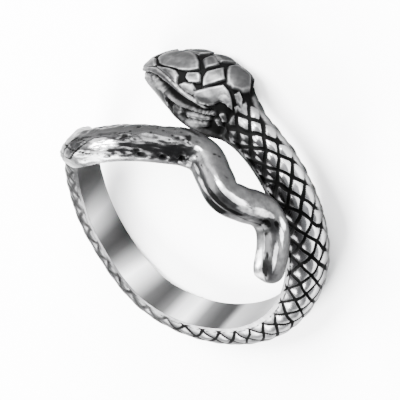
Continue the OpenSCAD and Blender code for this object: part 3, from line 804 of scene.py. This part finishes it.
# %% [markdown]
# ## Shader maths as plain expressions
# A material's numbers come out of sockets. This class wraps one socket, so that
# an expression such as 1 - mask adds its Math node by itself. Colours go
# through Mix, because a Math node would turn them grey.

# %% A small class for sockets
class Worked:
    """A value that a finish works out at every point of the surface."""

    def __init__(self, finish, socket):
        self.finish, self.socket = finish, socket

    def maths(self, operation, first, second=None):
        inputs = {0: first} if second is None else {0: first, 1: second}
        return self.finish.node("Math", {"operation": operation}, inputs)

    def __add__(self, other): return self.maths("ADD", self, other)
    def __radd__(self, other): return self.maths("ADD", other, self)
    def __sub__(self, other): return self.maths("SUBTRACT", self, other)
    def __rsub__(self, other): return self.maths("SUBTRACT", other, self)
    def __mul__(self, other): return self.maths("MULTIPLY", self, other)
    def __rmul__(self, other): return self.maths("MULTIPLY", other, self)

    def between(self, low, high):
        """0 below low, 1 above high and smooth in between."""
        return self.finish.node("MapRange", {"interpolation_type": "SMOOTHSTEP"},
                                {"Value": self, "From Min": low, "From Max": high})


class Finish:
    """A material whose nodes are added by name."""

    def __init__(self, name):
        self.material = bpy.data.materials.new(name)
        self.material.use_nodes = True
        self.nodes = self.material.node_tree.nodes
        self.links = self.material.node_tree.links
        self.shader = next(n for n in self.nodes if n.type == "BSDF_PRINCIPLED")

    def put(self, socket, value):
        if isinstance(value, Worked):
            self.links.new(value.socket, socket)
        elif socket.type == "RGBA" and len(value) == 3:
            socket.default_value = (*value, 1)
        else:
            socket.default_value = value

    def node(self, kind, settings=None, inputs=None, output=0):
        made = self.nodes.new("ShaderNode" + kind)
        for name, value in (settings or {}).items():
            setattr(made, name, value)
        for name, value in (inputs or {}).items():
            self.put(made.inputs[name], value)
        return Worked(self, made.outputs[output])

    def mix(self, share, a, b):
        made = self.nodes.new("ShaderNodeMix")
        made.data_type = "RGBA"
        self.put(made.inputs[0], share)
        self.put(made.inputs[6], a)
        self.put(made.inputs[7], b)
        return Worked(self, made.outputs[2])

    def shade(self, **sockets):
        for name, value in sockets.items():
            self.put(self.shader.inputs[name.replace("_", " ")], value)


print("socket class ready")

# %% [markdown]
# ## Antique silver
# Silver-plated casting metal is dipped in a blackening bath and then polished.
# The grooves stay black and dull, and the high spots are bright. The finish goes
# from dull to bright silver by the square of the polish, so the polish's painted
# highlights and painted dark reflections show here as colour, and a black film
# covers it where the skin is black, which is also painted shade where the polish
# is low. A fine grain and a wider cloud break the film's edge, as rubbing does,
# but leave the finger's wall smooth.

# %% The snake's finish
antique = Finish("antique_silver")
place = antique.node("TexCoord", output="Object")
film_and_painted_shade = antique.node("Attribute", {"attribute_name": "black"}, output="Fac")
shine_and_painted_light = antique.node("Attribute", {"attribute_name": "polish_and_painted_light"}, output="Fac")
skin_side = antique.node("Attribute", {"attribute_name": "outer"}, output="Fac")
brushed = antique.node("Attribute", {"attribute_name": "satin"}, output="Fac")
grain = antique.node("TexNoise", None, {"Vector": place, "Scale": 2600.0, "Detail": 3.0})
cloud = antique.node("TexNoise", None, {"Vector": place, "Scale": 420.0, "Detail": 3.0})
GRAIN_ON_FILM, CLOUD_ON_FILM, FILM_THIN, FILM_FULL = 0.5, 0.35, 0.18, 0.75
GRAIN_ON_POLISH, CLOUD_ON_POLISH = 1.4, 0.8
WALL_ROUGH, SMOOTHER, CLOUD_ROUGH, SATIN_ROUGH, FILM_ROUGH = 0.34, 0.18, 0.1, 0.2, 0.3
# dull silver also shows the painted dark reflections and bright silver the painted highlights
DULL_SILVER_AND_PAINTED_SHADE, BRIGHT_SILVER_AND_PAINTED_HIGHLIGHT = (0.010, 0.010, 0.0102), (0.60, 0.60, 0.605)
BLACK_FILM_AND_PAINTED_SHADE, EDGE_SHINE = (0.002, 0.002, 0.002), (0.5, 0.5, 0.5)
BUMP_STRENGTH, BUMP_HEIGHT, CLOUD_BUMP = 0.35, 0.00003, 0.5
film_edge = (grain - 0.5) * GRAIN_ON_FILM * skin_side + (cloud - 0.5) * CLOUD_ON_FILM * skin_side
film_and_painted_shade_cover = (film_and_painted_shade + film_edge).between(FILM_THIN, FILM_FULL)
mottled = (cloud - 0.5) * CLOUD_ON_POLISH + (grain - 0.5) * GRAIN_ON_POLISH * brushed
rubbed_and_painted_light = shine_and_painted_light * (1 + mottled * skin_side)
# the polish, with its painted highlights and painted shade, sets the silver's colour
metal = antique.mix(rubbed_and_painted_light * rubbed_and_painted_light, DULL_SILVER_AND_PAINTED_SHADE, BRIGHT_SILVER_AND_PAINTED_HIGHLIGHT)
skin_rough = skin_side * (CLOUD_ROUGH * cloud + SATIN_ROUGH * brushed - SMOOTHER)
bumps = grain * skin_side + CLOUD_BUMP * cloud * skin_side
antique.shade(
    Base_Color=antique.mix(film_and_painted_shade_cover, metal, BLACK_FILM_AND_PAINTED_SHADE),
    Metallic=1.0,
    Specular_Tint=EDGE_SHINE,
    Roughness=WALL_ROUGH + skin_rough + FILM_ROUGH * film_and_painted_shade_cover,
    Normal=antique.node("Bump", None, {"Strength": BUMP_STRENGTH, "Distance": BUMP_HEIGHT,
                                       "Height": bumps}),
)
skin.materials.clear()
skin.materials.append(antique.material)
print("finish:", antique.material.name, "with", len(antique.nodes), "nodes")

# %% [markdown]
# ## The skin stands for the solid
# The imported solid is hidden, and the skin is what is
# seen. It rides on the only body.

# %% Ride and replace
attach(snake, "root")
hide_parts("snake_ring")
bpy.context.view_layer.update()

# %% [markdown]
# ## The camera
# The picture looks at the ring from the tail's side, 46 degrees off the finger's
# axis, and it is turned until the head is at the top. A long lens flattens such a
# small thing, so a camera without perspective fits it.

# %% Camera
AXIS_OFF_VIEW, PICTURE_TURN = math.radians(46), math.radians(40)
# width of the picture and place of the ring in it, in millimetres, and the camera's in metres
VIEW_WIDTH, RING_OFF_CENTRE = 28.74, (-0.04, 0.32)
CAMERA_AWAY, SEEN_FROM, SEEN_TO = 0.25, 0.01, 3
to_viewer = Vector((0, math.sin(AXIS_OFF_VIEW), math.cos(AXIS_OFF_VIEW)))
level = Vector((1, 0, 0))
upright_line = to_viewer.cross(level)
right = level * math.cos(PICTURE_TURN) + upright_line * math.sin(PICTURE_TURN)
up = to_viewer.cross(right)
right, up, to_viewer = turned @ right, turned @ up, turned @ to_viewer
aim = (lift + right * -RING_OFF_CENTRE[0] + up * RING_OFF_CENTRE[1]) * MM
look = Matrix((right, up, to_viewer)).transposed()
bpy.ops.object.camera_add(location=aim + to_viewer * CAMERA_AWAY, rotation=look.to_euler())
camera = bpy.context.object
camera.data.type = "ORTHO"
camera.data.ortho_scale = VIEW_WIDTH * MM
camera.data.clip_start, camera.data.clip_end = SEEN_FROM, SEEN_TO
bpy.context.scene.camera = camera
print("camera above the floor by", round(math.degrees(math.asin(to_viewer.z)), 1), "degrees")

# %% [markdown]
# ## Floor and light
# A pale floor and large soft lamps stand in for a photographer's table. Bright
# metal shows what is around it, so the lamps' sizes and the gaps between them
# draw light and dark bands on it, beside the bands that are painted into the
# polish as painted reflections.

# %% Floor
FLOOR_WIDTH, FIBRE_SCALE, PAPER_ROUGH = 1.2, 300.0, 0.9
DARK_FIBRE, PALE_FIBRE = (0.86, 0.86, 0.86), (0.88, 0.88, 0.88)
deselect()
bpy.ops.mesh.primitive_plane_add(size=FLOOR_WIDTH, location=(0, 0, 0))
floor = bpy.context.object
floor.name = "floor"
paper = Finish("white_paper")
fibre = paper.node("TexNoise", None, {"Vector": paper.node("TexCoord", output="Object"),
                                      "Scale": FIBRE_SCALE, "Detail": 2.0})
paper.shade(Base_Color=paper.mix(fibre, DARK_FIBRE, PALE_FIBRE), Roughness=PAPER_ROUGH)
floor.data.materials.append(paper.material)
print("floor:", floor.dimensions[:2])

# %% Lamps
LAMP_AWAY, SKY, SKY_STRENGTH = 0.30, (0.95, 0.96, 1.0, 1), 1.5


def lamp(name, sideways, upward, toward, size, watts):
    """A square lamp, placed by the picture's right, up and toward the viewer."""
    direction = (right * sideways + up * upward + to_viewer * toward).normalized()
    spot = aim + direction * LAMP_AWAY
    turn = direction.to_track_quat("Z", "Y").to_euler()
    bpy.ops.object.light_add(type="AREA", location=spot, rotation=turn)
    made = bpy.context.object
    made.name = name
    made.data.shape = "SQUARE"
    made.data.size = size
    made.data.energy = watts
    print(name, "at height", round(spot.z, 3))


lamp("top_lamp", -0.1, 0.75, 0.65, 0.14, 8.0)
lamp("left_lamp", -0.78, 0.25, 0.6, 0.20, 10.0)
lamp("low_lamp", -0.64, -0.77, 0.0, 0.16, 8.0)
world = bpy.data.worlds.new("studio")
bpy.context.scene.world = world
world.use_nodes = True
background = world.node_tree.nodes["Background"]
background.inputs["Color"].default_value = SKY
background.inputs["Strength"].default_value = SKY_STRENGTH
